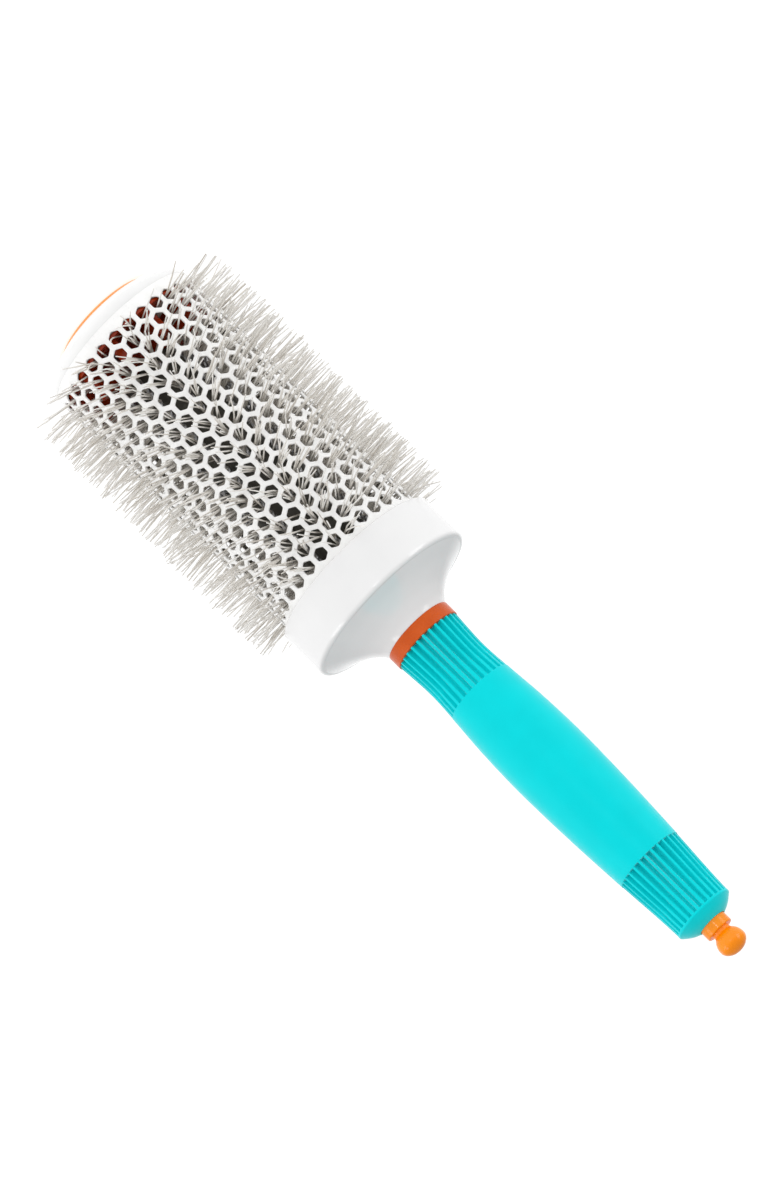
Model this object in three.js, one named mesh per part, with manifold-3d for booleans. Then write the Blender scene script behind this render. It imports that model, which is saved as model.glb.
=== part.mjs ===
// Round barrel hair brush with a sectioning pick stored in its handle.
// Millimetres, +Z up. The brush stands on the flat disc of its front cap: the brush axis is the Z axis,
// the barrel is below and the handle is above.
import * as THREE from "three";
import { mergeVertices } from "three/addons/utils/BufferGeometryUtils.js";
import Module from "manifold-3d";

const wasm = await Module();
wasm.setup();

// ---------------------------------------------------------------- driving dimensions
const GAP = 0.3; // clearance between neighbouring pieces

const TUBE_R = 27; // outer radius of the perforated barrel
const TUBE_WALL = 0.8;
const TUBE_Z0 = 8.5;
const TUBE_Z1 = 112.9;
const TUBE_FACETS = 40; // a hole lies inside one facet

const HOLE_SIZE = 4; // across the flats of a six-sided vent hole
const HOLE_Z0 = 14.05; // first row of holes
const HOLE_Z1 = 105.25; // last row of holes
const HOLE_ROWS = 11;

const STRIPS = 10; // bristle rows round the barrel
const WIRE_R = 1; // twisted wire of a bristle row
const WIRE_PITCH_R = 13; // distance of the wires from the axis
const TUFT_ROOT_R = 0.7;
const TUFT_TIP_R = 1.1;
const TIP_R = 39.2; // bristle tips, measured from the axis

const CAP_FACE_Z = 1; // where the dome meets the disc
const CAP_DOME_Z = 8.2; // where the dome meets the barrel
const DISC_R = 18.6;
const DISC_THICK = 2;
const DISC_FLAT_R = 15.7; // edge of the flat face; outside it the disc curves up to meet the dome
const POCKET_R = 6.5;
const POCKET_Z = 7.5;

const COLLAR_R = 29.4;
const COLLAR_Z0 = 109.5;
const COLLAR_RIM_Z = 125.5;
const NECK_Z = 136.3;
const NECK_R = 11.6;

const RING_R = 11.8;
const RING_Z0 = 136.6;
const RING_Z1 = 140.6;

const GRIP_Z0 = 140.9;
const GRIP_Z1 = 258.3;
const GRIP_END_Z = 261.8; // top of the conical end face
const GRIP_WALL = 2.6;
const RIBS = 28;
const RIB_DEPTH = 0.8;
const FRONT_RIBS_Z1 = 162.9;
const REAR_RIBS_Z0 = 235.2;

const ROD_R = 3;
const ROD_THREAD_R = 2;
const SPIGOT_R = 8; // front end of the handle core, inside the collar
const INSERT_R = 5;
const INSERT_Z0 = 147.2;
const INSERT_Z1 = 157.2;

const PIN_R = 1.6;
const PIN_Z0 = 187.2;
const KNOB_Z0 = 258.7; // shoulder that rests on the bush
const KNOB_R = 4.55;
const KNOB_COLLAR_Z1 = 265;
const KNOB_PLUG_R = 3.3;
const KNOB_PLUG_Z0 = 247.2;
const KNOB_NECK_R = 3;
const BALL_Z = 270;
const BALL_R = 4.7;
const BALL_RISE = 3.4; // from its widest height to its flattened top
const BALL_DROP = 5; // from its widest height down, if the neck did not cut it off
const BUSH_R = 5.3;
const BUSH_Z0 = 237.2;
const ORING_Z = 253.2;
const ORING_SECTION_R = 0.5;

// ---------------------------------------------------------------- materials
function material(color, roughness, metalness = 0) {
  return new THREE.MeshStandardMaterial({ color, roughness, metalness });
}

const ceramicWhite = material(0xf2f2f0, 0.3, 0.2);
const glossWhite = material(0xf4f4f4, 0.15);
const orange = material(0xee6c0c, 0.25);
const nylon = material(0xcfc8bd, 0.5);
const darkPlastic = material(0x4a463e, 0.6);
const whitePlastic = material(0xe4e2de, 0.5);
const turquoise = material(0x12cdd0, 0.55);
const steel = material(0xb4b6b8, 0.3, 1);
const brass = material(0xc8a24a, 0.35, 1);
const rubber = material(0x1c1c1c, 0.8);

// ---------------------------------------------------------------- solids
// A THREE geometry as a manifold solid.
function solidOf(geometry) {
  const bare = geometry.index ? geometry.toNonIndexed() : geometry.clone();
  bare.deleteAttribute("normal");
  bare.deleteAttribute("uv");
  const merged = mergeVertices(bare, 1e-4);
  return new wasm.Manifold(new wasm.Mesh({
    numProp: 3,
    vertProperties: merged.attributes.position.array,
    triVerts: new Uint32Array(merged.index.array),
  }));
}

// A manifold solid as a THREE geometry.
function geometryOf(solid) {
  const mesh = solid.getMesh();
  const geometry = new THREE.BufferGeometry();
  geometry.setAttribute("position", new THREE.BufferAttribute(mesh.vertProperties, 3));
  geometry.setIndex(new THREE.BufferAttribute(mesh.triVerts, 1));
  geometry.computeVertexNormals();
  return geometry;
}

// Turns a closed outline of [radius, height] points, counter-clockwise, about the Z axis.
function turned(outline, segments = 32) {
  const points = outline.map(([r, z]) => new THREE.Vector2(r, z));
  points.push(points[0].clone());
  return new THREE.LatheGeometry(points, segments).rotateX(Math.PI / 2);
}

// A plain ring or tube between two radii and two heights.
function ringGeometry(inner, outer, z0, z1, segments = 32) {
  return turned([[inner, z0], [outer, z0], [outer, z1], [inner, z1]], segments);
}

// A plain solid disc or rod between two heights.
function discGeometry(radius, z0, z1, segments = 32) {
  return turned([[0, z0], [radius, z0], [radius, z1], [0, z1]], segments);
}

// Points along a smooth curve through the given [radius, height] points.
function smooth(points, divisions) {
  const curve = new THREE.SplineCurve(points.map(([r, z]) => new THREE.Vector2(r, z)));
  return curve.getPoints(divisions).map((p) => [p.x, p.y]);
}

// Points along an ellipse arc centred at [r, z] with half axes a and b, from one angle to another.
function arc(r, z, a, b, from, to, divisions) {
  const points = [];
  for (let i = 0; i <= divisions; i++) {
    const angle = from + ((to - from) * i) / divisions;
    points.push([r + a * Math.cos(angle), z + b * Math.sin(angle)]);
  }
  return points;
}

// A prism with a regular section that runs from one point to another and may taper.
function bar(from, to, radiusFrom, radiusTo, sides) {
  const along = new THREE.Vector3().subVectors(to, from);
  const geometry = new THREE.CylinderGeometry(radiusTo, radiusFrom, along.length(), sides);
  const turn = new THREE.Quaternion();
  turn.setFromUnitVectors(new THREE.Vector3(0, 1, 0), along.clone().normalize());
  geometry.applyQuaternion(turn);
  geometry.translate(...new THREE.Vector3().addVectors(from, to).multiplyScalar(0.5).toArray());
  return geometry;
}

// A point at a radius, an angle and a height.
function polar(radius, angle, z) {
  return new THREE.Vector3(radius * Math.cos(angle), radius * Math.sin(angle), z);
}

const brush = new THREE.Group();

// Adds one piece of the brush under its own name.
function place(name, geometry, finish, group = brush) {
  const mesh = new THREE.Mesh(geometry, finish);
  mesh.name = name;
  group.add(mesh);
  return mesh;
}

// ---------------------------------------------------------------- barrel
const STRIP_ANGLE = (2 * Math.PI) / STRIPS;
const ROW_PITCH = (HOLE_Z1 - HOLE_Z0) / (HOLE_ROWS - 1);
const TUBE_INNER_R = TUBE_R - TUBE_WALL;

// The angle of a bristle row about the axis. The quarter step makes the brush as wide along X as along Y.
function stripAngle(strip) {
  return (strip + 0.25) * STRIP_ANGLE;
}

function holeHeight(row) {
  return HOLE_Z0 + row * ROW_PITCH;
}

// The tube is turned so that each hole lies in the middle of a facet.
function barrelTube() {
  const facet = (2 * Math.PI) / TUBE_FACETS;
  const tube = ringGeometry(TUBE_INNER_R, TUBE_R, TUBE_Z0, TUBE_Z1, TUBE_FACETS);
  tube.rotateZ(stripAngle(0) + facet / 2);
  let solid = solidOf(tube);
  const corner = HOLE_SIZE / Math.sqrt(3);
  for (let row = 0; row < HOLE_ROWS; row++) {
    for (let strip = 0; strip < STRIPS; strip++) {
      const hole = bar(polar(TUBE_R - 4, 0, 0), polar(TUBE_R + 4, 0, 0), corner, corner, 6);
      hole.rotateZ(stripAngle(strip)).translate(0, 0, holeHeight(row));
      solid = solid.subtract(solidOf(hole));
    }
  }
  return geometryOf(solid);
}

place("barrel_tube", barrelTube(), ceramicWhite);

// ---------------------------------------------------------------- bristle rows
// Each row is a wire that lies lengthwise inside the barrel, with tufts that pass out through the holes.
const WIRE_Z0 = 13.4;
const WIRE_Z1 = 110.6;

function bristleStrip(strip) {
  const angle = stripAngle(strip);
  const front = polar(WIRE_PITCH_R, angle, WIRE_Z0);
  const back = polar(WIRE_PITCH_R, angle, WIRE_Z1);
  let solid = solidOf(bar(front, back, WIRE_R, WIRE_R, 6));
  for (let row = 0; row < HOLE_ROWS; row++) {
    const root = polar(WIRE_PITCH_R, angle, holeHeight(row));
    const tip = polar(TIP_R, angle, holeHeight(row));
    solid = solid.add(solidOf(bar(root, tip, TUFT_ROOT_R, TUFT_TIP_R, 4)));
  }
  return geometryOf(solid);
}

for (let strip = 0; strip < STRIPS; strip++) {
  const number = String(strip + 1).padStart(2, "0");
  place("bristle_strip_" + number, bristleStrip(strip), nylon);
}

// ---------------------------------------------------------------- hubs and core inside the barrel
const HUB_R = TUBE_INNER_R - GAP;
const HUB_BORE_R = ROD_R + GAP;
const FRONT_HUB_Z0 = 12.1;
const FRONT_HUB_PLATE_Z1 = 13.1;
const FRONT_HUB_Z1 = 22;
const REAR_HUB_Z0 = 108.6;
const REAR_HUB_PLATE_Z1 = 111.2;
const REAR_HUB_Z1 = 127.9;
const CORE_R = 11;
const CORE_WALL = 1.4;
const FIN_R = 23;
const FIN_HALF_ANGLE = 0.07;

// The front hub is a plate that carries one fin between each two bristle rows.
function frontHub() {
  const outline = new THREE.Shape();
  for (let strip = 0; strip < STRIPS; strip++) {
    const middle = stripAngle(strip) + STRIP_ANGLE / 2;
    const corners = [
      polar(CORE_R, middle - 2 * FIN_HALF_ANGLE, 0),
      polar(FIN_R, middle - FIN_HALF_ANGLE, 0),
      polar(FIN_R, middle + FIN_HALF_ANGLE, 0),
      polar(CORE_R, middle + 2 * FIN_HALF_ANGLE, 0),
    ];
    for (const [i, p] of corners.entries()) {
      if (strip === 0 && i === 0) outline.moveTo(p.x, p.y);
      else outline.lineTo(p.x, p.y);
    }
  }
  outline.closePath();
  const height = FRONT_HUB_Z1 - FRONT_HUB_Z0;
  const fins = new THREE.ExtrudeGeometry(outline, { depth: height, bevelEnabled: false });
  fins.translate(0, 0, FRONT_HUB_Z0);
  const plate = discGeometry(HUB_R, FRONT_HUB_Z0, FRONT_HUB_PLATE_Z1);
  const bore = discGeometry(HUB_BORE_R, FRONT_HUB_Z0 - 1, FRONT_HUB_Z1 + 1);
  return geometryOf(solidOf(fins).add(solidOf(plate)).subtract(solidOf(bore)));
}

// The rear hub holds the other ends of the wires and carries a boss that meets the handle.
function rearHub() {
  let solid = solidOf(turned([
    [HUB_BORE_R, REAR_HUB_Z0],
    [HUB_R, REAR_HUB_Z0],
    [HUB_R, REAR_HUB_PLATE_Z1],
    [SPIGOT_R, REAR_HUB_PLATE_Z1 + 2],
    [SPIGOT_R, REAR_HUB_Z1],
    [HUB_BORE_R, REAR_HUB_Z1],
  ]));
  for (let strip = 0; strip < STRIPS; strip++) {
    const seat = bar(
      polar(WIRE_PITCH_R, stripAngle(strip), REAR_HUB_Z0 - 1),
      polar(WIRE_PITCH_R, stripAngle(strip), WIRE_Z1 + GAP),
      WIRE_R + 2 * GAP,
      WIRE_R + 2 * GAP,
      6,
    );
    solid = solid.subtract(solidOf(seat));
  }
  return geometryOf(solid);
}

function coreTube() {
  return ringGeometry(CORE_R - CORE_WALL, CORE_R, FRONT_HUB_Z1 + GAP, REAR_HUB_Z0 - GAP, 24);
}

place("front_hub", frontHub(), orange);
place("core_tube", coreTube(), darkPlastic);
place("rear_hub", rearHub(), whitePlastic);

// ---------------------------------------------------------------- front cap and its disc
function frontCap() {
  const a = TUBE_R;
  const seat = DISC_R + GAP;
  const start = Math.acos(seat / a);
  const b = (CAP_DOME_Z - CAP_FACE_Z) / Math.sin(start);
  const dome = arc(0, CAP_DOME_Z, a, b, -start, 0, 6);
  const spigotZ = FRONT_HUB_Z0 - GAP;
  const seatZ = DISC_THICK + GAP;
  return turned([
    ...dome,
    [HUB_R, CAP_DOME_Z],
    [HUB_R, spigotZ],
    [HUB_R - 2, spigotZ],
    [HUB_R - 2.2, CAP_DOME_Z - 1],
    [DISC_R + 3, seatZ + 2.5],
    [POCKET_R + 2, seatZ + 2],
    [POCKET_R + 2, POCKET_Z + 2],
    [ROD_R + GAP, POCKET_Z + 2],
    [ROD_R + GAP, POCKET_Z],
    [POCKET_R, POCKET_Z],
    [POCKET_R, seatZ],
    [seat, seatZ],
  ], 32);
}

// The disc is flat with a curved shoulder, so that the brush can stand on it.
function capDisc() {
  const width = DISC_R - DISC_FLAT_R;
  const shoulder = [0, 0.4, 0.7, 1].map((t) => [DISC_FLAT_R + width * t, CAP_FACE_Z * t * t]);
  return turned([
    [0, 0],
    ...shoulder,
    [DISC_R, DISC_THICK],
    [0, DISC_THICK],
  ], 32);
}

place("front_cap", frontCap(), glossWhite);
place("cap_disc", capDisc(), orange);

// ---------------------------------------------------------------- tie rod, nut, washer and insert
const WASHER_Z1 = POCKET_Z - GAP;
const WASHER_THICK = 0.8;
const WASHER_R = 5.5;
const NUT_HEIGHT = 3.2;
const NUT_CORNER_R = 4;
const ROD_Z0 = DISC_THICK + 2 * GAP;
const ROD_SHOULDER_Z0 = POCKET_Z + GAP;
const ROD_SHOULDER_Z1 = INSERT_Z0 - GAP;
const THREAD_BORE_R = ROD_THREAD_R + GAP;

// A six-sided nut on the tie rod's front thread.
function frontNut() {
  const z1 = WASHER_Z1 - WASHER_THICK - GAP;
  const z0 = z1 - NUT_HEIGHT;
  const body = bar(polar(0, 0, z0), polar(0, 0, z1), NUT_CORNER_R, NUT_CORNER_R, 6);
  const bore = discGeometry(THREAD_BORE_R, z0 - 1, z1 + 1, 16);
  return geometryOf(solidOf(body).subtract(solidOf(bore)));
}

function frontWasher() {
  return ringGeometry(THREAD_BORE_R, WASHER_R, WASHER_Z1 - WASHER_THICK, WASHER_Z1, 24);
}

// The rod is thick in the middle and threaded, so thinner, at both ends.
function tieRod() {
  return turned([
    [0, ROD_Z0],
    [ROD_THREAD_R, ROD_Z0],
    [ROD_THREAD_R, ROD_SHOULDER_Z0],
    [ROD_R, ROD_SHOULDER_Z0],
    [ROD_R, ROD_SHOULDER_Z1],
    [ROD_THREAD_R, ROD_SHOULDER_Z1],
    [ROD_THREAD_R, INSERT_Z1 + 2],
    [0, INSERT_Z1 + 2],
  ], 16);
}

place("front_washer", frontWasher(), steel);
place("front_nut", frontNut(), steel);
place("tie_rod", tieRod(), steel);
place("handle_insert", ringGeometry(THREAD_BORE_R, INSERT_R, INSERT_Z0, INSERT_Z1, 16), brass);

// ---------------------------------------------------------------- collar and neck ring
function collar() {
  const rim = [COLLAR_R - 1.4, COLLAR_RIM_Z];
  const bell = smooth([rim, [22, 127.8], [16.6, 130.9], [13.2, 134], [NECK_R, NECK_Z]], 7);
  const bore = SPIGOT_R + GAP;
  const socket = TUBE_R + GAP;
  const shoulderZ = TUBE_Z1 + GAP;
  return turned([
    [socket, COLLAR_Z0],
    [COLLAR_R - 0.6, COLLAR_Z0],
    [COLLAR_R, COLLAR_Z0 + 0.6],
    [COLLAR_R, COLLAR_RIM_Z - 1.4],
    [COLLAR_R - 0.4, COLLAR_RIM_Z - 0.4],
    ...bell,
    [bore, NECK_Z],
    [bore, 128.2],
    [14, 125.2],
    [22, 122.6],
    [25.4, 121.2],
    [25.4, shoulderZ],
    [socket, shoulderZ],
  ], 32);
}

place("collar", collar(), glossWhite);
place("neck_ring", turned([
  [SPIGOT_R + GAP, RING_Z0],
  [RING_R - 0.3, RING_Z0],
  [RING_R, RING_Z0 + 0.5],
  [RING_R, RING_Z1 - 0.5],
  [RING_R - 0.3, RING_Z1],
  [SPIGOT_R + GAP, RING_Z1],
], 32), orange);

// ---------------------------------------------------------------- handle
// The outside of the handle from the neck ring to the end rim: waisted, then full, then tapering.
const GRIP_CURVE = new THREE.SplineCurve([
  new THREE.Vector2(11.6, GRIP_Z0),
  new THREE.Vector2(10.95, 152.7),
  new THREE.Vector2(11.45, 163.2),
  new THREE.Vector2(12.45, 177.2),
  new THREE.Vector2(12.9, 193.2),
  new THREE.Vector2(12.45, 213.2),
  new THREE.Vector2(11.45, 234.2),
  new THREE.Vector2(10.5, 249.2),
  new THREE.Vector2(10.1, GRIP_Z1),
]);
const GRIP_POINTS = GRIP_CURVE.getPoints(60).map((p) => [p.x, p.y]);

// The radius of the grip's outside at a height.
function gripRadius(z) {
  for (let i = 1; i < GRIP_POINTS.length; i++) {
    const [r0, z0] = GRIP_POINTS[i - 1];
    const [r1, z1] = GRIP_POINTS[i];
    if (z <= z1) return r0 + ((r1 - r0) * (z - z0)) / (z1 - z0);
  }
  return GRIP_POINTS.at(-1)[0];
}

// Heights from one end of a stretch to the other.
function heights(z0, z1, divisions) {
  return Array.from({ length: divisions + 1 }, (_, i) => z0 + ((z1 - z0) * i) / divisions);
}

const HANDLE_END_Z = 258.2; // top of the rigid core and the bush
const KNOB_HOLE_R = KNOB_R + GAP;

// The sleeve has V-shaped grooves in its two ribbed stretches.
function gripSleeve() {
  const front = heights(GRIP_Z0 + 0.6, FRONT_RIBS_Z1, 3);
  const middle = heights(FRONT_RIBS_Z1 + 0.3, REAR_RIBS_Z0 - 0.3, 5);
  const rear = heights(REAR_RIBS_Z0, GRIP_Z1 - 0.6, 1);
  const outside = [GRIP_Z0, ...front, ...middle, ...rear, GRIP_Z1].map((z) => [gripRadius(z), z]);
  const inside = heights(HANDLE_END_Z + GAP, GRIP_Z0, 5).map((z) => [gripRadius(z) - GRIP_WALL, z]);
  const geometry = turned([
    ...outside,
    [KNOB_HOLE_R, GRIP_END_Z],
    [KNOB_HOLE_R, HANDLE_END_Z + GAP],
    ...inside,
  ], 2 * RIBS);
  const position = geometry.attributes.position;
  for (let i = 0; i < position.count; i++) {
    const x = position.getX(i);
    const y = position.getY(i);
    const z = position.getZ(i);
    const radius = Math.hypot(x, y);
    const isOutside = radius > gripRadius(z) - GRIP_WALL / 2;
    const isRibbed = inStretch(z, front) || inStretch(z, rear);
    const step = Math.round((Math.atan2(y, x) / Math.PI) * RIBS);
    if (isOutside && isRibbed && step % 2 !== 0) {
      const scale = (radius - RIB_DEPTH) / radius;
      position.setXY(i, x * scale, y * scale);
    }
  }
  return geometry;
}

function inStretch(z, stretch) {
  const margin = 0.01;
  return z > stretch[0] - margin && z < stretch.at(-1) + margin;
}

const CORE_INSET = GRIP_WALL + GAP;

// The rigid core: a spigot for the collar, seats for the insert and the bush, and the pick's channel.
function handleCore() {
  const body = heights(GRIP_Z0, HANDLE_END_Z, 5).map((z) => [gripRadius(z) - CORE_INSET, z]);
  const rodBore = ROD_R + GAP;
  const pinBore = PIN_R + 2 * GAP;
  const seatR = INSERT_R + GAP;
  const bushR = BUSH_R + GAP;
  return turned([
    [rodBore, REAR_HUB_Z1 + GAP],
    [SPIGOT_R, REAR_HUB_Z1 + GAP],
    [SPIGOT_R, RING_Z1 + GAP],
    ...body,
    [bushR, HANDLE_END_Z],
    [bushR, BUSH_Z0 - GAP],
    [pinBore, BUSH_Z0 - GAP],
    [pinBore, INSERT_Z1 + 6],
    [rodBore, INSERT_Z1 + 5],
    [rodBore, INSERT_Z1 + GAP],
    [seatR, INSERT_Z1 + GAP],
    [seatR, INSERT_Z0 - GAP],
    [rodBore, INSERT_Z0 - GAP],
  ], 24);
}

place("grip_sleeve", gripSleeve(), turquoise);
place("handle_core", handleCore(), whitePlastic);

// ---------------------------------------------------------------- sectioning pick
const BUSH_BORE_R = KNOB_PLUG_R + GAP;
const ORING_R = BUSH_BORE_R + ORING_SECTION_R;
const ORING_SEAT = ORING_SECTION_R + GAP;

place("pick_bush", turned([
  [BUSH_BORE_R, BUSH_Z0],
  [BUSH_R, BUSH_Z0],
  [BUSH_R, HANDLE_END_Z],
  [BUSH_BORE_R, HANDLE_END_Z],
  [BUSH_BORE_R, ORING_Z + ORING_SEAT],
  [ORING_R + ORING_SEAT, ORING_Z + ORING_SEAT],
  [ORING_R + ORING_SEAT, ORING_Z - ORING_SEAT],
  [BUSH_BORE_R, ORING_Z - ORING_SEAT],
], 16), whitePlastic);
place("pick_ring", new THREE.TorusGeometry(ORING_R, ORING_SECTION_R, 6, 16).translate(0, 0, ORING_Z), rubber);

const pick = new THREE.Group();
brush.add(pick);

// The knob: plug, collar, short neck and flattened ball, with a blind bore for the pin.
function pickKnob() {
  const neckAngle = Math.acos(KNOB_NECK_R / BALL_R);
  const boreR = PIN_R + GAP;
  const boreZ = KNOB_COLLAR_Z1 - 1;
  return turned([
    [boreR, KNOB_PLUG_Z0],
    [KNOB_PLUG_R, KNOB_PLUG_Z0],
    [KNOB_PLUG_R, KNOB_Z0],
    [KNOB_R, KNOB_Z0],
    [KNOB_R, KNOB_COLLAR_Z1 - 0.4],
    [KNOB_R - 0.4, KNOB_COLLAR_Z1],
    [KNOB_NECK_R, KNOB_COLLAR_Z1],
    ...arc(0, BALL_Z, BALL_R, BALL_DROP, -neckAngle, 0, 4).slice(0, -1),
    ...arc(0, BALL_Z, BALL_R, BALL_RISE, 0, Math.PI / 2, 5).slice(0, -1),
    [0, BALL_Z + BALL_RISE],
    [0, boreZ],
    [boreR, boreZ],
  ], 20);
}

place("pick_knob", pickKnob(), orange, pick);
place("pick_pin", turned([
  [0, PIN_Z0],
  [0.4, PIN_Z0 + 0.3],
  [PIN_R, PIN_Z0 + 14],
  [PIN_R, KNOB_COLLAR_Z1 - 1 - GAP],
  [0, KNOB_COLLAR_Z1 - 1 - GAP],
], 12), steel, pick);

export default brush;
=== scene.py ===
"""A round barrel hair brush with a sectioning pick in its handle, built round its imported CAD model.

Metres, +Z up. The brush stands on the flat disc of its cap, so the brush axis is the Z axis: the barrel is
below and the handle is above. Heights and radii come from the CAD nodes that the pieces stand for.
"""

import math

import bmesh
import bpy
import numpy as np
from mathutils import Matrix, Vector


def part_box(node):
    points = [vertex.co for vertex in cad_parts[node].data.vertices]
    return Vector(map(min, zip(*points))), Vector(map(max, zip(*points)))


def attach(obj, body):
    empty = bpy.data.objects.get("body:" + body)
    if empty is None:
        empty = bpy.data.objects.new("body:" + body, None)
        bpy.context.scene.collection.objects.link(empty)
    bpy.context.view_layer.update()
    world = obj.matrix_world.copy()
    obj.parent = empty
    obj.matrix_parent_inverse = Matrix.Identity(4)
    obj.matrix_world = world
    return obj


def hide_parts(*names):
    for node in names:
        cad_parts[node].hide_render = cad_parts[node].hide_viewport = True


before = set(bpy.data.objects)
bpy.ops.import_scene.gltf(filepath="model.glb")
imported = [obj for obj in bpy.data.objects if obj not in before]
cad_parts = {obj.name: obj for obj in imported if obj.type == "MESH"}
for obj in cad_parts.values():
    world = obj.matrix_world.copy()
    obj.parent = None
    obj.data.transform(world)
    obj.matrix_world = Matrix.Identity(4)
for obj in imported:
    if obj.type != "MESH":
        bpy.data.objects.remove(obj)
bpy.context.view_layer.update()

MM = 0.001
TURN = 2 * math.pi
SEGMENTS = 144  # round a turned piece
HAIRLINE = 0.01 * MM  # what shows of the clearance between two fitted pieces


# ---------------------------------------------------------------- sizes from the frame
def reach(node):
    """The largest distance of a CAD node from the brush axis."""
    return max(math.hypot(v.co.x, v.co.y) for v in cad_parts[node].data.vertices)


def ends(node):
    """The lowest and highest height of a CAD node."""
    low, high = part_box(node)
    return low.z, high.z


# ---------------------------------------------------------------- materials
EVEN = (1, 1, 1)
LINES_ROUND_AXIS = (1, 1, 12)
NOISE_LOW, NOISE_HIGH = 0.3, 0.7  # nearly all of a noise texture's values lie between these
# A strand's own random tone times painted shade toward its root and painted light toward its tip
STRAND_TONE_AND_SHADE = "strand_tone_and_shade"


def principled(name, **sockets):
    """A material whose Principled shader has these socket values. Underscores stand for spaces."""
    material = bpy.data.materials.new(name)
    material.use_nodes = True
    shader = material.node_tree.nodes["Principled BSDF"]
    for socket, value in sockets.items():
        shader.inputs[socket.replace("_", " ")].default_value = value
    return material


def noise(material, feature, detail=2.0, stretch=EVEN):
    """A noise texture in the object's own space, with features of about this size in metres."""
    tree = material.node_tree
    place = tree.nodes.new("ShaderNodeTexCoord")
    mapping = tree.nodes.new("ShaderNodeMapping")
    mapping.inputs["Scale"].default_value = stretch
    texture = tree.nodes.new("ShaderNodeTexNoise")
    texture.inputs["Scale"].default_value = 1 / feature
    texture.inputs["Detail"].default_value = detail
    tree.links.new(place.outputs["Object"], mapping.inputs["Vector"])
    tree.links.new(mapping.outputs["Vector"], texture.inputs["Vector"])
    return texture.outputs["Fac"]


def ramp(material, factor, stops):
    """A colour ramp driven by factor. Stops are (place, colour)."""
    node = material.node_tree.nodes.new("ShaderNodeValToRGB")
    band = node.color_ramp
    for index, (place, colour) in enumerate(stops):
        stop = band.elements[index] if index < 2 else band.elements.new(place)
        stop.position = place
        stop.color = (*colour, 1)
    material.node_tree.links.new(factor, node.inputs["Fac"])
    return node.outputs["Color"]


def into(material, output, socket):
    """Links an output to a socket of the Principled shader."""
    shader = material.node_tree.nodes["Principled BSDF"]
    material.node_tree.links.new(output, shader.inputs[socket])


def spread(material, factor, low, high):
    """A noise factor spread over the range from low to high."""
    node = material.node_tree.nodes.new("ShaderNodeMapRange")
    node.inputs["From Min"].default_value = NOISE_LOW
    node.inputs["From Max"].default_value = NOISE_HIGH
    node.inputs["To Min"].default_value = low
    node.inputs["To Max"].default_value = high
    material.node_tree.links.new(factor, node.inputs["Value"])
    return node.outputs["Result"]


def relief(material, factor, depth):
    """Bump from a factor, with a full depth in metres."""
    node = material.node_tree.nodes.new("ShaderNodeBump")
    node.inputs["Distance"].default_value = depth
    node.inputs["Strength"].default_value = 1.0
    material.node_tree.links.new(factor, node.inputs["Height"])
    into(material, node.outputs["Normal"], "Normal")


def finish_with(material, colours, patch, rough, grain, depth, stretch=EVEN):
    """Mottles a material: two colours in patches of one size, roughness that wanders between two values
    in smaller patches, and a fine grain with a size and a depth."""
    mottling = noise(material, patch, detail=3.0, stretch=stretch)
    dark, light = colours
    into(material, ramp(material, mottling, [(NOISE_LOW, dark), (NOISE_HIGH, light)]), "Base Color")
    into(material, spread(material, noise(material, patch / 3, stretch=stretch), *rough), "Roughness")
    relief(material, noise(material, grain, stretch=stretch), depth)
    return material


def ceramic_white():
    material = principled("ceramic_white", Coat_Weight=0.15, Coat_Roughness=0.2)
    colours = (0.88, 0.88, 0.87), (0.92, 0.92, 0.915)
    return finish_with(material, colours, 3 * MM, (0.26, 0.4), 0.25 * MM, 0.012 * MM)


def gloss_white():
    material = principled("gloss_white", Coat_Weight=0.5, Coat_Roughness=0.04)
    colours = (0.79, 0.79, 0.79), (0.82, 0.82, 0.818)
    return finish_with(material, colours, 14 * MM, (0.12, 0.2), 2.5 * MM, 0.01 * MM)


def orange(name, dark, light, coat):
    material = principled(name, Specular_IOR_Level=0.2, Coat_Weight=coat, Coat_Roughness=0.08)
    return finish_with(material, (dark, light), 5 * MM, (0.22, 0.34), 0.8 * MM, 0.008 * MM)


def soft_turquoise():
    """Soft-touch rubber: a fine even grain with a faint sheen."""
    material = principled(
        "soft_turquoise",
        Specular_IOR_Level=0.06,
        Sheen_Weight=0.6,
        Sheen_Roughness=0.36,
        Sheen_Tint=(0.6, 1.0, 1.0, 1.0),
    )
    colours = (0.0, 0.65, 0.69), (0.0, 0.68, 0.72)
    return finish_with(material, colours, 9 * MM, (0.34, 0.42), 0.22 * MM, 0.014 * MM)


def nylon():
    """Bristle nylon: each strand has its own tone, with painted shade toward its root inside the barrel and
    painted light toward its tip.
    """
    material = principled("nylon", Roughness=0.38, Specular_IOR_Level=0.5)
    tone = material.node_tree.nodes.new("ShaderNodeAttribute")
    tone.attribute_name = STRAND_TONE_AND_SHADE
    tones_and_shade = [(0.0, (0.56, 0.515, 0.455)), (0.5, (0.77, 0.74, 0.69)), (1.0, (0.91, 0.895, 0.865))]
    into(material, ramp(material, tone.outputs["Fac"], tones_and_shade), "Base Color")
    relief(material, noise(material, 0.5 * MM), 0.01 * MM)
    return material


def plastic(name, dark, light, rough):
    material = principled(name)
    return finish_with(material, (dark, light), 6 * MM, rough, 0.4 * MM, 0.012 * MM)


def metal(name, dark, light, rough):
    """Drawn or turned metal, with fine lines round the axis."""
    material = principled(name, Metallic=1.0)
    return finish_with(material, (dark, light), 4 * MM, rough, 0.3 * MM, 0.004 * MM, LINES_ROUND_AXIS)


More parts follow.
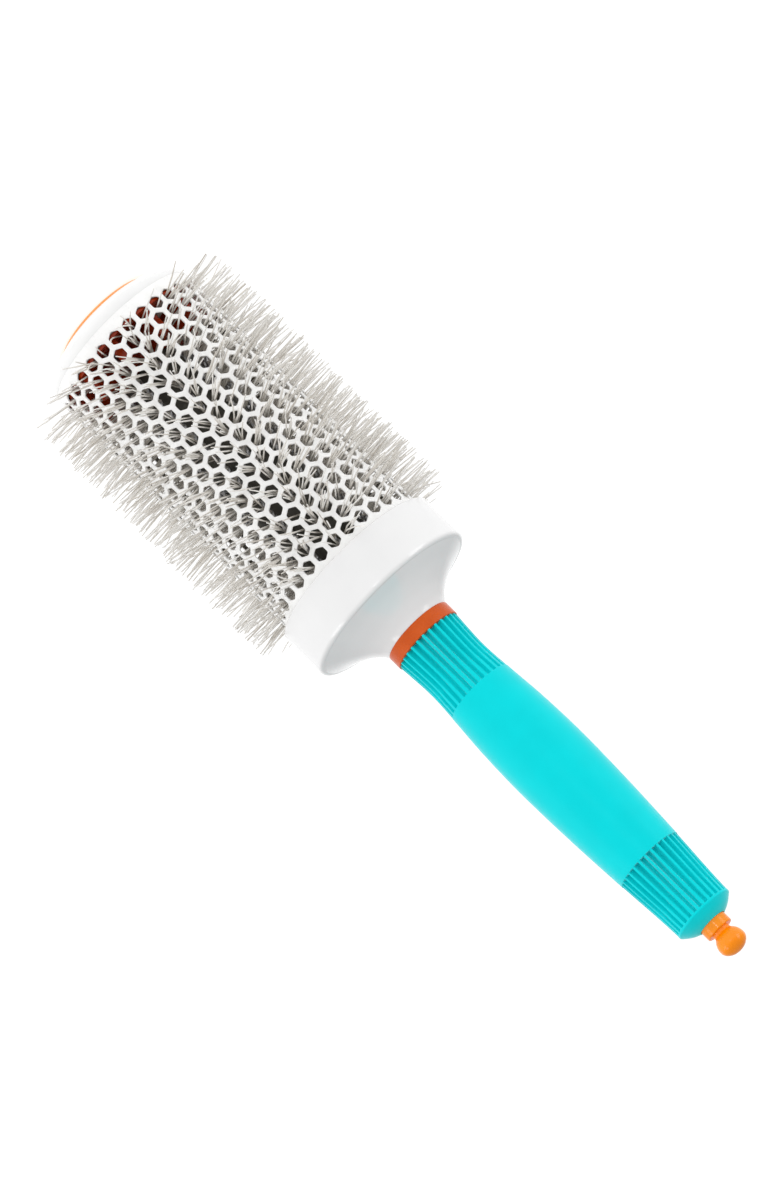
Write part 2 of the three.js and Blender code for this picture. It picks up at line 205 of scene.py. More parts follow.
MATERIALS = {
    "ceramic_white": ceramic_white(),
    "gloss_white": gloss_white(),
    "gloss_orange": orange("gloss_orange", (0.94, 0.25, 0.0), (0.98, 0.285, 0.0), 0.3),
    # A darker copy of the orange for the neck ring: painted shade beside the collar's bell
    "gloss_orange.ring": orange("gloss_orange.ring", (0.57, 0.075, 0.0), (0.63, 0.09, 0.0), 0.1),
    # A dark red copy of the orange for the front hub: painted shade inside the barrel
    "gloss_orange.shaded_inside": orange("gloss_orange.shaded_inside", (0.26, 0.02, 0.001), (0.34, 0.03, 0.002), 0.1),
    # Dark olive for the inside of the barrel tube: painted shade inside the barrel
    "bare_inside": plastic("bare_inside", (0.15, 0.14, 0.11), (0.20, 0.187, 0.15), (0.4, 0.55)),
    "nylon": nylon(),
    "dark_plastic": plastic("dark_plastic", (0.045, 0.041, 0.03), (0.07, 0.064, 0.05), (0.5, 0.65)),
    "white_plastic": plastic("white_plastic", (0.70, 0.69, 0.66), (0.78, 0.77, 0.74), (0.4, 0.55)),
    "soft_turquoise": soft_turquoise(),
    "steel": metal("steel", (0.48, 0.48, 0.49), (0.62, 0.62, 0.63), (0.22, 0.36)),
    "brass": metal("brass", (0.62, 0.44, 0.16), (0.75, 0.56, 0.24), (0.25, 0.4)),
    "black_rubber": plastic("black_rubber", (0.012, 0.012, 0.012), (0.03, 0.03, 0.03), (0.6, 0.8)),
}


# ---------------------------------------------------------------- mesh building
def piece(name, vertices, faces, slots, nodes, body, sharp=35, weld=True):
    """Makes a mesh piece that stands for CAD nodes, rides on a body and is finished in material slots."""
    mesh = bpy.data.meshes.new(name)
    mesh.from_pydata([tuple(v) for v in vertices], [], faces)
    work = bmesh.new()
    work.from_mesh(mesh)
    if weld:
        bmesh.ops.remove_doubles(work, verts=work.verts, dist=0.001 * MM)
    bmesh.ops.recalc_face_normals(work, faces=work.faces)
    work.to_mesh(mesh)
    work.free()
    mesh.shade_smooth()
    mesh.set_sharp_from_angle(angle=math.radians(sharp))
    for slot in slots:
        mesh.materials.append(MATERIALS[slot])
    made = bpy.data.objects.new(name, mesh)
    bpy.context.scene.collection.objects.link(made)
    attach(made, body)
    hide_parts(*nodes)
    return made


def soften(outline, steps=5):
    """Rounds the corners of an outline. A corner is (radius, height, length), with the length that the
    rounding takes off each side, or (radius, height) where it stays sharp."""
    points = []
    for index, (r, z, *length) in enumerate(outline):
        if not length:
            points.append((r, z))
            continue
        corner = Vector((r, z))
        before = Vector(outline[index - 1][:2]) - corner
        after = Vector(outline[(index + 1) % len(outline)][:2]) - corner
        start = corner + before.normalized() * length[0]
        end = corner + after.normalized() * length[0]
        for step in range(steps + 1):
            t = step / steps
            points.append(tuple(start * (1 - t) ** 2 + corner * 2 * t * (1 - t) + end * t ** 2))
    return points


def smooth(points, divisions):
    """Points along a Catmull-Rom curve through the given (radius, height) points."""
    knots = [Vector(p) for p in points]
    knots = [knots[0], *knots, knots[-1]]
    found = []
    for a, b, c, d in zip(knots, knots[1:], knots[2:], knots[3:]):
        for step in range(divisions):
            t = step / divisions
            along = (c - a) * t + (2 * a - 5 * b + 4 * c - d) * t ** 2 + (3 * b - a - 3 * c + d) * t ** 3
            found.append(tuple(b + along / 2))
    return [*found, tuple(points[-1])]


def turn(outline, segments=SEGMENTS, closed=True):
    """Turns (radius, height) points about the Z axis into vertices and faces.
    A point on the axis is one vertex."""
    vertices, rings = [], []
    for r, z in outline:
        count = segments if r > HAIRLINE / 10 else 1
        rings.append([len(vertices) + i for i in range(count)])
        angles = [TURN * i / count for i in range(count)]
        vertices += [(r * math.cos(angle), r * math.sin(angle), z) for angle in angles]
    faces = []
    pairs = list(zip(rings, rings[1:])) + ([(rings[-1], rings[0])] if closed else [])
    for low, high in pairs:
        for i in range(segments):
            j = (i + 1) % segments
            corners = [low[i % len(low)], low[j % len(low)], high[j % len(high)], high[i % len(high)]]
            face = list(dict.fromkeys(corners))
            if len(face) > 2:
                faces.append(face)
    return vertices, faces


def turned(name, outline, slot, node, body="brush", closed=True, segments=SEGMENTS):
    return piece(name, *turn(soften(outline), segments, closed), [slot], [node], body)


def tube(path, radii, sides):
    """Vertices and faces of a round closed strand along a path, with a radius at each point."""
    path = np.asarray(path)
    along = np.gradient(path, axis=0)
    along /= np.linalg.norm(along, axis=1)[:, None]
    guide = np.eye(3)[np.argmin(np.abs(along.mean(axis=0)))]
    across = np.cross(along, guide)
    across /= np.linalg.norm(across, axis=1)[:, None]
    other = np.cross(along, across)
    angle = TURN * np.arange(sides) / sides
    circle = across[:, None] * np.cos(angle)[None, :, None] + other[:, None] * np.sin(angle)[None, :, None]
    vertices = (path[:, None] + circle * np.asarray(radii)[:, None, None]).reshape(-1, 3)
    faces = []
    for low in range(0, (len(path) - 1) * sides, sides):
        high = low + sides
        for i in range(sides):
            j = (i + 1) % sides
            faces.append((low + i, low + j, high + j, high + i))
    last = (len(path) - 1) * sides
    return vertices, [*faces, tuple(range(sides)), tuple(range(last, last + sides))]


# ---------------------------------------------------------------- barrel
TUBE_R = reach("barrel_tube")
TUBE_Z0, TUBE_Z1 = ends("barrel_tube")
TUBE_WALL = 0.5 * MM
COLUMNS = 30  # holes round the barrel
RINGS = 20  # rings of holes; every second ring is turned by half a hole
FIRST_RING_Z = TUBE_Z0 + 5.55 * MM
LAST_RING_Z = TUBE_Z1 - 7.65 * MM
RING_STEP = (LAST_RING_Z - FIRST_RING_Z) / (RINGS - 1)
PITCH = TURN * TUBE_R / COLUMNS
HOLE_HALF = 2.0 * MM  # half the distance across the flats of a six-sided hole
HOLE_CORNER = 0.35 * MM  # what the rounding takes off each side of a hole's corner
WEB_ROUND = 0.2 * MM  # rounding of the webs between the holes, on the outside
TUBE_BEVEL = 0.03 * MM  # at both ends of the tube
SEED = 100
STRIPS = 10  # bristle rows
STRIP_STEP = TURN / STRIPS
STRIP_PHASE = 0.25 * STRIP_STEP  # the first bristle row, and a column of holes


def ring_height(ring):
    return FIRST_RING_Z + ring * RING_STEP


def hole_angle(ring, column):
    return STRIP_PHASE + (column + ring % 2 / 2) * TURN / COLUMNS


def six_sided(half_width, apex, shoulder, corner=0.0):
    """24 points round a six-sided outline with a corner at the top, counter-clockwise from outside."""
    corners = [(0, apex), (-half_width, shoulder), (-half_width, -shoulder)]
    corners += [(0, -apex), (half_width, -shoulder), (half_width, shoulder)]
    corners = [Vector(c) for c in corners]
    points = []
    for index, at in enumerate(corners):
        following = corners[(index + 1) % 6]
        ahead = (following - at).normalized()
        behind = (corners[index - 1] - at).normalized()
        reach_along = corner or (following - at).length / 4
        points.append(at + (ahead + behind) * corner / 4)
        points += [at + ahead * reach_along, (at + following) / 2, following - ahead * reach_along]
    return np.array([tuple(p) for p in points])


def honeycomb():
    """The perforated tube: one six-sided cell round each hole, and a plain band at each end."""
    cell_apex = (RING_STEP ** 2 + PITCH ** 2 / 4) / (2 * RING_STEP)
    border = six_sided(PITCH / 2, cell_apex, RING_STEP - cell_apex)

    def hole(grow):
        half = HOLE_HALF + grow
        return six_sided(half, 2 * half / math.sqrt(3), half / math.sqrt(3), HOLE_CORNER + grow)

    inner = TUBE_R - TUBE_WALL
    round_middle = 0.29 * WEB_ROUND
    loops = [
        (border, TUBE_R),
        (hole(WEB_ROUND), TUBE_R),
        (hole(round_middle), TUBE_R - round_middle),
        (hole(0), TUBE_R - WEB_ROUND),
        (hole(0), inner),
        (border, inner),
    ]
    count = len(border)
    vertices, faces = [], []

    def point(ring, column, s, t, radius):
        angle = hole_angle(ring, column) + s / TUBE_R
        return radius * math.cos(angle), radius * math.sin(angle), ring_height(ring) + t

    for ring in range(RINGS):
        for column in range(COLUMNS):
            first = len(vertices)
            for outline, radius in loops:
                vertices += [point(ring, column, s, t, radius) for s, t in outline]
            for level in range(len(loops) - 1):
                for k in range(count):
                    a, b = first + level * count + k, first + level * count + (k + 1) % count
                    faces.append((a, b, b + count, a + count))

    # Each end of the tube: a ring of cells, the points on the open side of a cell's border, and the rim's
    # section, which starts and ends at the border.
    lower_side = range(8, 16)
    upper_side = (4, 3, 2, 1, 0, 23, 22, 21)
    lower_rim = [
        (inner, TUBE_Z0 + TUBE_BEVEL),
        (inner + TUBE_BEVEL, TUBE_Z0),
        (TUBE_R - TUBE_BEVEL, TUBE_Z0),
        (TUBE_R, TUBE_Z0 + TUBE_BEVEL),
    ]
    upper_rim = [
        (TUBE_R, TUBE_Z1 - TUBE_BEVEL),
        (TUBE_R - TUBE_BEVEL, TUBE_Z1),
        (inner + TUBE_BEVEL, TUBE_Z1),
        (inner, TUBE_Z1 - TUBE_BEVEL),
    ]
    ends_of_tube = [
        (0, lower_side, lower_rim, inner, TUBE_R),
        (RINGS - 1, upper_side, upper_rim, TUBE_R, inner),
    ]
    for ring, edge, section, start, end in ends_of_tube:
        zigzag = [(column, *border[k]) for column in range(COLUMNS) for k in edge]
        rows = [[point(ring, column, s, t, start) for column, s, t in zigzag]]
        for radius, z in section:
            rows.append([(*point(ring, column, s, t, radius)[:2], z) for column, s, t in zigzag])
        rows.append([point(ring, column, s, t, end) for column, s, t in zigzag])
        for low, high in zip(rows, rows[1:]):
            first, size = len(vertices), len(low)
            vertices += low + high
            for k in range(size):
                following = (k + 1) % size
                faces.append((first + k, first + following, first + size + following, first + size + k))
    return vertices, faces


barrel = piece(
    "barrel_honeycomb", *honeycomb(), ["ceramic_white", "bare_inside"], ["barrel_tube"], "brush", sharp=50,
)
# The tube's inner faces take the dark olive painted shade
corner_reach = [math.hypot(v.co.x, v.co.y) for v in barrel.data.vertices]
for face in barrel.data.polygons:
    if max(corner_reach[v] for v in face.vertices) < TUBE_R - TUBE_WALL + HAIRLINE:
        face.material_index = 1


# ---------------------------------------------------------------- bristle rows
WIRE_PITCH_R = 13 * MM
WIRE_Z0, WIRE_Z1 = ends("bristle_strip_01")
WIRE_STRAND_R = 0.45 * MM
WIRE_TWIST = 4.2 * MM  # height of one full twist
WIRE_POINTS = 8  # in one full twist
WIRE_SIDES = 6
STRAND_R = 0.25 * MM
STRAND_TAPER = (1, 1, 1, 0.98, 0.92, 0.72)  # of its radius, from the wire to the tip
STRAND_SIDES = 5
ROOT_SPREAD = 0.7 * MM  # along the wire
ROOT_TURN = 0.03  # radians round the brush axis
MIDDLE_SHARE = 0.56  # how far along a strand it passes through the barrel
SWAY = 0.55 * MM  # sideways bend of a tip
TIP_R = 38.0 * MM
TIP_LIMIT_R = 38.75 * MM
STRAY_CHANCE = 0.06
STRAY_CHANCE_AT_ENDS = 0.3  # in the first and the last ring of holes
TONE_MEAN, TONE_SPREAD = 0.62, 0.2  # of the strands, where 0 is dark and 1 is light
SHADED_TONE_AT_ROOT, LIT_TONE_AT_TIP = 0.3, 1.3  # times a strand's own tone: painted shade at the root, inside the barrel, and painted light at the tip
HUB_TOP_Z = ends("front_hub")[1]
# Fewest and most strands in a hole, by how many half columns the hole lies from the wire.
STRANDS_BY_OFFSET = {0: (2, 5), 1: (2, 6), 2: (1, 5), 3: (0, 2)}


def cylinder_point(radius, angle, z):
    return np.array([radius * math.cos(angle), radius * math.sin(angle), z])


def strand_path(rng, wire_angle, angle, z, stray):
    """A strand from the wire through a hole to its tip, as a curve through three points."""
    slack = HOLE_HALF - 3 * STRAND_R
    spot = rng.uniform(0, TURN)
    off = slack * math.sqrt(rng.uniform(0, 1))
    root_angle = wire_angle + rng.normal(0, ROOT_TURN)
    root = cylinder_point(WIRE_PITCH_R, root_angle, z + rng.normal(0, ROOT_SPREAD))
    middle = cylinder_point(TUBE_R, angle + off * math.cos(spot) / TUBE_R, z + off * math.sin(spot))
    heading = (middle - root) / np.linalg.norm(middle - root)
    sideways = rng.normal(0, 1.0 + 2.5 * stray, 3) * SWAY
    tip_r = min(TIP_R + rng.normal(0, 0.5 + 0.6 * stray) * MM, TIP_LIMIT_R)
    tip = middle + heading * (tip_r - TUBE_R) * 1.02 + sideways
    tip[:2] *= min(tip_r / np.hypot(*tip[:2]), 1.0)
    path = []
    for t in np.linspace(0, 1, len(STRAND_TAPER)):
        a = (t - MIDDLE_SHARE) * (t - 1) / MIDDLE_SHARE
        b = t * (t - 1) / (MIDDLE_SHARE * (MIDDLE_SHARE - 1))
        c = t * (t - MIDDLE_SHARE) / (1 - MIDDLE_SHARE)
        path.append(root * a + middle * b + tip * c)
    return path


def bristle_row(strip):
    """One row: a wire twisted from two strands, and tufts that pass out through the holes beside it."""
    rng = np.random.default_rng(SEED + strip)
    wire_angle = STRIP_PHASE + strip * STRIP_STEP
    vertices, faces, tones_and_shade = [], [], []

    def add(strand, tone):
        points, quads = strand
        first = len(vertices)
        vertices.extend(points)
        faces.extend([tuple(first + v for v in face) for face in quads])
        tones_and_shade.extend(tone)

    axis = cylinder_point(WIRE_PITCH_R, wire_angle, 0)
    heights = np.linspace(WIRE_Z0, WIRE_Z1, int((WIRE_Z1 - WIRE_Z0) / WIRE_TWIST * WIRE_POINTS))
    for start in (0, math.pi):
        twist = start + TURN * heights / WIRE_TWIST
        x = axis[0] + WIRE_STRAND_R * np.cos(twist)
        y = axis[1] + WIRE_STRAND_R * np.sin(twist)
        path = np.stack([x, y, heights], 1)
        add(tube(path, [WIRE_STRAND_R] * len(path), WIRE_SIDES), [0.5] * (WIRE_SIDES * len(path)))
    steel_faces = len(faces)

    radii = [STRAND_R * share for share in STRAND_TAPER]
    for ring in range(RINGS):
        z = ring_height(ring)
        stray_chance = STRAY_CHANCE_AT_ENDS if ring in (0, RINGS - 1) else STRAY_CHANCE
        for half_columns in ((-2, 0, 2) if ring % 2 == 0 else (-1, 1, 3)):
            offset = half_columns * TURN / COLUMNS / 2
            if abs(half_columns) == 3 and z < HUB_TOP_Z:
                continue
            fewest, most = STRANDS_BY_OFFSET[abs(half_columns)]
            for _ in range(rng.integers(fewest, most + 1)):
                stray = float(rng.random() < stray_chance)
                path = strand_path(rng, wire_angle, wire_angle + offset, z, stray)
                tone = min(max(rng.normal(TONE_MEAN, TONE_SPREAD), 0), 1)
                # Painted shade toward the root, inside the barrel, and painted light toward the tip
                along = np.repeat(np.linspace(SHADED_TONE_AT_ROOT, LIT_TONE_AT_TIP, len(path)), STRAND_SIDES)
                add(tube(path, radii, STRAND_SIDES), list(np.clip(tone * along, 0, 1)))

    made = piece(
        f"bristle_row_{strip + 1:02d}", vertices, faces, ["nylon", "steel"],
        [f"bristle_strip_{strip + 1:02d}"], "brush", sharp=60, weld=False,
    )
    for face in made.data.polygons[:steel_faces]:
        face.material_index = 1
    attribute = made.data.attributes.new(STRAND_TONE_AND_SHADE, "FLOAT", "POINT")
    attribute.data.foreach_set("value", np.array(tones_and_shade, np.float32))


for strip in range(STRIPS):
    bristle_row(strip)


# ---------------------------------------------------------------- core tube, cap and disc
CORE_R = reach("core_tube")
CORE_WALL = 1.4 * MM
CORE_Z0, CORE_Z1 = ends("core_tube")
turned("core_sleeve", [
    (CORE_R - CORE_WALL, CORE_Z0),
    (CORE_R, CORE_Z0, 0.3 * MM),
    (CORE_R, CORE_Z1, 0.3 * MM),
    (CORE_R - CORE_WALL, CORE_Z1),
], "dark_plastic", "core_tube")

DISC_R = reach("cap_disc")
DISC_Z0, DISC_Z1 = ends("cap_disc")
CAP_R = reach("front_cap")
CAP_Z0, CAP_TOP_Z = ends("front_cap")
CAP_SPIGOT_R = TUBE_R - 1.1 * MM
DISC_RIM_Z = CAP_Z0 + 0.3 * MM  # where the disc's shoulder meets the dome
DISC_SHOULDER = 2.9 * MM  # width of the shoulder
BOSS_R, BOSS_TOP_Z = 8.5 * MM, 9.5 * MM  # inside the dome, round the tie rod
POCKET_R, POCKET_TOP_Z = 6.5 * MM, 7.5 * MM  # for the nut and its washer, behind the disc
TIE_ROD_HOLE_R = 3.3 * MM
DOME_STEPS = 40


def front_cap():
    """A shallow dome with a seat for the disc, and a spigot that carries the barrel."""
    seat = DISC_R + 0.15 * MM
    seam = TUBE_Z0 - HAIRLINE
    face = DISC_RIM_Z + 0.1 * MM
    start = math.acos(seat / CAP_R)
    height = (seam - face) / math.sin(start)
    angles = [start * (1 - i / DOME_STEPS) for i in range(DOME_STEPS)]
    dome = [(CAP_R * math.cos(angle), seam - height * math.sin(angle)) for angle in angles]
    return [
        *dome,
        (CAP_R, seam, 0.02 * MM),
        (CAP_SPIGOT_R, seam),
        (CAP_SPIGOT_R, CAP_TOP_Z, 0.4 * MM),
        (CAP_SPIGOT_R - 2 * MM, CAP_TOP_Z, 0.4 * MM),
        (CAP_SPIGOT_R - 2.2 * MM, seam - 1 * MM),
        (DISC_R + 3 * MM, DISC_Z1 + 2.8 * MM),
        (BOSS_R, DISC_Z1 + 2.3 * MM),
        (BOSS_R, BOSS_TOP_Z),
        (TIE_ROD_HOLE_R, BOSS_TOP_Z),
        (TIE_ROD_HOLE_R, POCKET_TOP_Z),
        (POCKET_R, POCKET_TOP_Z),
        (POCKET_R, DISC_Z1 + HAIRLINE),
        (seat, DISC_Z1 + HAIRLINE),
    ]


turned("front_cap_dome", front_cap(), "gloss_white", "front_cap")


def cap_disc():
    """The flat disc, with a curved shoulder and a shallow ring pressed into its face."""
    groove_r, groove_half, groove_depth = 13 * MM, 0.5 * MM, 0.25 * MM
    shoulder = [(DISC_R - DISC_SHOULDER * (1 - t), DISC_RIM_Z * t * t) for t in np.linspace(0, 1, 12)]
    return [
        (0, DISC_Z0),
        (groove_r - groove_half, DISC_Z0, 0.15 * MM),
        (groove_r, DISC_Z0 + groove_depth, 0.2 * MM),
        (groove_r + groove_half, DISC_Z0, 0.15 * MM),
        *shoulder,
        (DISC_R, DISC_Z1),
        (0, DISC_Z1),
    ]


turned("cap_disc_face", cap_disc(), "gloss_orange", "cap_disc", closed=False)

# ---------------------------------------------------------------- collar and neck ring
COLLAR_R = reach("collar")
COLLAR_Z0, NECK_Z = ends("collar")
RIM_Z = COLLAR_Z0 + 16 * MM
NECK_R = 11.6 * MM
SPIGOT_R = 8.3 * MM  # bore of the collar's neck and of the neck ring
# Radii of the bell and the heights above the collar's rim, in millimetres.
BELL_PROFILE = [(22, 2.3), (16.6, 5.4), (13.2, 8.5)]
SOCKET_R = TUBE_R + 0.3 * MM
SOCKET_END_Z = TUBE_Z1 + 0.3 * MM
REAR_HUB_HOLLOW_R = 25.4 * MM  # inside the collar, behind the barrel


def collar():
    """A cylinder that closes over the barrel, and a bell behind it that runs down to the neck."""
    middle = [(r * MM, RIM_Z + rise * MM) for r, rise in BELL_PROFILE]
    bell = [(COLLAR_R - 1.6 * MM, RIM_Z), *middle, (NECK_R, NECK_Z)]
    return [
        (SOCKET_R, COLLAR_Z0, 0.15 * MM),
        (COLLAR_R, COLLAR_Z0, 0.5 * MM),
        (COLLAR_R, RIM_Z, 1.5 * MM),
        *smooth(bell, 12),
        (SPIGOT_R, NECK_Z),
        (SPIGOT_R, RIM_Z + 2.7 * MM),
        (14 * MM, RIM_Z - 0.3 * MM),
        (22 * MM, RIM_Z - 2.9 * MM),
        (REAR_HUB_HOLLOW_R, RIM_Z - 4.3 * MM),
        (REAR_HUB_HOLLOW_R, SOCKET_END_Z),
        (SOCKET_R, SOCKET_END_Z),
    ]


turned("collar_bell", collar(), "gloss_white", "collar", segments=192)

RING_R = reach("neck_ring")
GRIP_Z0 = ends("grip_sleeve")[0]
# The band takes the darker copy of the orange: painted shade beside the collar's bell
turned("neck_ring_band", [
    (SPIGOT_R, NECK_Z + HAIRLINE),
    (RING_R, NECK_Z + HAIRLINE, 0.3 * MM),
    (RING_R, GRIP_Z0 - HAIRLINE, 0.3 * MM),
    (SPIGOT_R, GRIP_Z0 - HAIRLINE),
], "gloss_orange.ring", "neck_ring")

# ---------------------------------------------------------------- grip
GRIP_END_Z = ends("grip_sleeve")[1]
GRIP_RIM_Z = GRIP_END_Z - 3.5 * MM
RIBS = 28
RIB_COLUMNS = 14  # across one rib and its groove
FRONT_RIBS_Z1 = GRIP_Z0 + 22 * MM
REAR_RIBS_Z0 = GRIP_RIM_Z - 23.1 * MM
REAR_RIBS_Z1 = GRIP_RIM_Z - 0.8 * MM
GRIP_WALL = 2.6 * MM
GRIP_STEP = 0.12 * MM  # from the end of a groove up to the smooth surface beside it
KNOB_R = 4.55 * MM  # of the pick's collar, which sits in the end of the grip
# Millimetres of depth at a groove's front end, and how much shallower it is at its rear end.
GROOVE_DEPTH, GROOVE_DEPTH_LOSS = 2.1, 1.0
# The same for its half width, as a share of one rib and its groove.
GROOVE_HALF, GROOVE_HALF_LOSS = 0.36, 0.09
# Radii of the grip and the heights above its front end, in millimetres.
GRIP_PROFILE = [
    (11.6, 0),
    (10.95, 11.8),
    (11.45, 22.3),
    (12.45, 36.3),
    (12.9, 52.3),
    (12.45, 72.3),
    (11.45, 93.3),
    (10.5, 108.3),
    (10.1, 117.4),
]
GRIP_CURVE = np.array(smooth([(r * MM, GRIP_Z0 + rise * MM) for r, rise in GRIP_PROFILE], 16))


def grip_radius(z):
    return float(np.interp(z, GRIP_CURVE[:, 1], GRIP_CURVE[:, 0]))


def groove(z, across):
    """How deep the grip is cut at a height, across one rib from 0 to 1. Each groove is widest and deepest at
    its end nearer the barrel."""
    for low, high in ((GRIP_Z0, FRONT_RIBS_Z1), (REAR_RIBS_Z0, REAR_RIBS_Z1)):
        if low <= z <= high:
            t = (z - low) / (high - low)
            depth = (GROOVE_DEPTH - GROOVE_DEPTH_LOSS * t) * MM
            half_width = GROOVE_HALF - GROOVE_HALF_LOSS * t
            u = min(abs(across - 0.5) / half_width, 1)
            return depth * (1 - u ** 3) + GRIP_STEP
    return 0.0


def grip_sleeve():
    """The sleeve with its ribs, closed at its far end down to the hole for the pick's collar."""
    columns = RIBS * RIB_COLUMNS
    heights = [
        *np.linspace(GRIP_Z0, FRONT_RIBS_Z1, 36),
        *np.linspace(FRONT_RIBS_Z1 + GRIP_STEP, REAR_RIBS_Z0 - GRIP_STEP, 40),
        *np.linspace(REAR_RIBS_Z0, REAR_RIBS_Z1, 36),
        REAR_RIBS_Z1 + GRIP_STEP,
    ]
    rows = [
        [(grip_radius(z) - groove(z, column % RIB_COLUMNS / RIB_COLUMNS), z) for column in range(columns)]
        for z in heights
    ]
    rim_r = grip_radius(GRIP_RIM_Z)
    hole_r = KNOB_R + 0.15 * MM
    hole_end_z = GRIP_RIM_Z - 0.7 * MM
    end = soften([
        (rim_r, GRIP_RIM_Z - 0.4 * MM),
        (rim_r, GRIP_RIM_Z, 0.3 * MM),
        (7.6 * MM, GRIP_END_Z - 1.4 * MM, 1.2 * MM),
        (hole_r, GRIP_END_Z, 0.3 * MM),
        (hole_r, hole_end_z),
    ])
    inside = [(grip_radius(z) - GRIP_WALL, z) for z in np.linspace(hole_end_z, GRIP_Z0, 8)]
    rows += [[point] * columns for point in [*end, *inside]]
    vertices = [
        (r * math.cos(TURN * column / columns), r * math.sin(TURN * column / columns), z)
        for row in rows
        for column, (r, z) in enumerate(row)
    ]
    faces = []
    for row in range(len(rows)):
        low = row * columns
        high = (row + 1) % len(rows) * columns
        for column in range(columns):
            following = (column + 1) % columns
            faces.append((low + column, low + following, high + following, high + column))
    return vertices, faces


piece("grip_sleeve_ribbed", *grip_sleeve(), ["soft_turquoise"], ["grip_sleeve"], "brush", sharp=40)

# ---------------------------------------------------------------- sectioning pick and its bush
BUSH_R = reach("pick_bush")
BUSH_Z0, BUSH_Z1 = ends("pick_bush")
BUSH_BORE_R = 3.6 * MM
turned("pick_bush_liner", [
    (BUSH_BORE_R, BUSH_Z0),
    (BUSH_R, BUSH_Z0, 0.3 * MM),
    (BUSH_R, BUSH_Z1, 0.3 * MM),
    (BUSH_BORE_R, BUSH_Z1, 0.5 * MM),
], "white_plastic", "pick_bush")

KNOB_Z0, KNOB_TOP_Z = ends("pick_knob")
SHOULDER_Z = KNOB_Z0 + 11.5 * MM  # where the plug ends and the collar starts
PLUG_R = 3.3 * MM
KNOB_COLLAR_Z1 = SHOULDER_Z + 6.3 * MM
BALL_R = reach("pick_knob")
BALL_RISE = 3.4 * MM  # from its widest height to its flattened top
BALL_DROP = 5 * MM  # from its widest height down, if the neck did not cut it off
BALL_Z = KNOB_TOP_Z - BALL_RISE
BALL_BLEND = 0.12  # radians of the ball that blend into the neck
KNOB_NECK_R = 3 * MM


def pick_knob():
    """Plug, collar, short neck and flattened ball, with a blind bore for the pin."""
    low = -math.acos(KNOB_NECK_R / BALL_R)
    ball = [
        (BALL_R * math.cos(angle), BALL_Z + (BALL_DROP if angle < 0 else BALL_RISE) * math.sin(angle))
        for angle in np.linspace(low + BALL_BLEND, math.pi / 2, 36)[:-1]
    ]
    bore_r = reach("pick_pin") + 0.1 * MM
    return [
        (bore_r, KNOB_Z0, 0.2 * MM),
        (PLUG_R, KNOB_Z0, 0.4 * MM),
        (PLUG_R, SHOULDER_Z),
        (KNOB_R, SHOULDER_Z, 0.3 * MM),
        (KNOB_R, KNOB_COLLAR_Z1, 0.4 * MM),
        (KNOB_NECK_R, KNOB_COLLAR_Z1, 0.15 * MM),
        (KNOB_NECK_R, BALL_Z + BALL_DROP * math.sin(low), 0.15 * MM),
        *ball,
        (0, KNOB_TOP_Z),
        (0, KNOB_COLLAR_Z1 - 1 * MM),
        (bore_r, KNOB_COLLAR_Z1 - 1 * MM),
    ]


turned("pick_knob_ball", pick_knob(), "gloss_orange", "pick_knob", body="pick", segments=96)

PIN_R = reach("pick_pin")
PIN_Z0, PIN_Z1 = ends("pick_pin")
turned("pick_pin_steel", [
    (0, PIN_Z0),
    (0.25 * MM, PIN_Z0 + 0.1 * MM),
    (0.5 * MM, PIN_Z0 + 0.6 * MM),
    (PIN_R, PIN_Z0 + 14 * MM, 3 * MM),
    (PIN_R, PIN_Z1),
    (0, PIN_Z1),
], "steel", "pick_pin", body="pick", closed=False, segments=48)

O_RING_R = reach("pick_ring")
O_RING_Z0, O_RING_Z1 = ends("pick_ring")
O_RING_Z = (O_RING_Z0 + O_RING_Z1) / 2
O_RING_SECTION_R = (O_RING_Z1 - O_RING_Z0) / 2
O_RING_SIDES = 16
turned("pick_o_ring", [
    (O_RING_R - O_RING_SECTION_R * (1 - math.cos(angle)), O_RING_Z + O_RING_SECTION_R * math.sin(angle))
    for angle in [TURN * k / O_RING_SIDES for k in range(O_RING_SIDES)]
], "black_rubber", "pick_ring", segments=64)

# ---------------------------------------------------------------- CAD nodes that stay as they are
# The front hub takes the dark red copy of the orange: painted shade inside the barrel
for node, slot in {
    "front_hub": "gloss_orange.shaded_inside",
    "rear_hub": "white_plastic",
    "handle_core": "white_plastic",
    "tie_rod": "steel",
    "front_nut": "steel",
    "front_washer": "steel",
    "handle_insert": "brass",
}.items():
    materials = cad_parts[node].data.materials
    materials.clear()
    materials.append(MATERIALS[slot])

# ---------------------------------------------------------------- floor, light and camera
AIM_Z = 139.2 * MM  # about the middle of the brush
FLOOR_HALF = 40
CAMERA_ELEVATION = math.radians(13.5)
CAMERA_ROLL = math.radians(134.75)
CAMERA_DISTANCE = 3.0
CAMERA_LENS = 304.1
CAMERA_LEFT, CAMERA_UP = 10.3 * MM, 11.65 * MM  # off the line to the middle of the brush
SIDE_LIGHT = (0.6, 1.6), 6.5  # size in metres and power in watts
FRONT_LIGHT = (0.16, 0.16), 0.7
# The colour of the surroundings up to one height, and from another height up. A height is the sine of the
# elevation of a line of sight.
HORIZON = 0.08, (1, 1, 1, 1)
OVERHEAD = 0.35, (0.52, 0.52, 0.525, 1)


def floor():
    """A large pale floor that also glows a little, as a light table does."""
    corners = [(-1, -1), (1, -1), (1, 1), (-1, 1)]
    mesh = bpy.data.meshes.new("floor")
    mesh.from_pydata([(x * FLOOR_HALF, y * FLOOR_HALF, 0) for x, y in corners], [], [(0, 1, 2, 3)])
    material = principled(
        "floor_white",
        Base_Color=(0.4, 0.4, 0.4, 1),
        Roughness=0.9,
        Specular_IOR_Level=0.0,
        Emission_Color=(1, 1, 1, 1),
        Emission_Strength=0.85,
    )
    mesh.materials.append(material)
    made = bpy.data.objects.new("floor", mesh)
    bpy.context.scene.collection.objects.link(made)


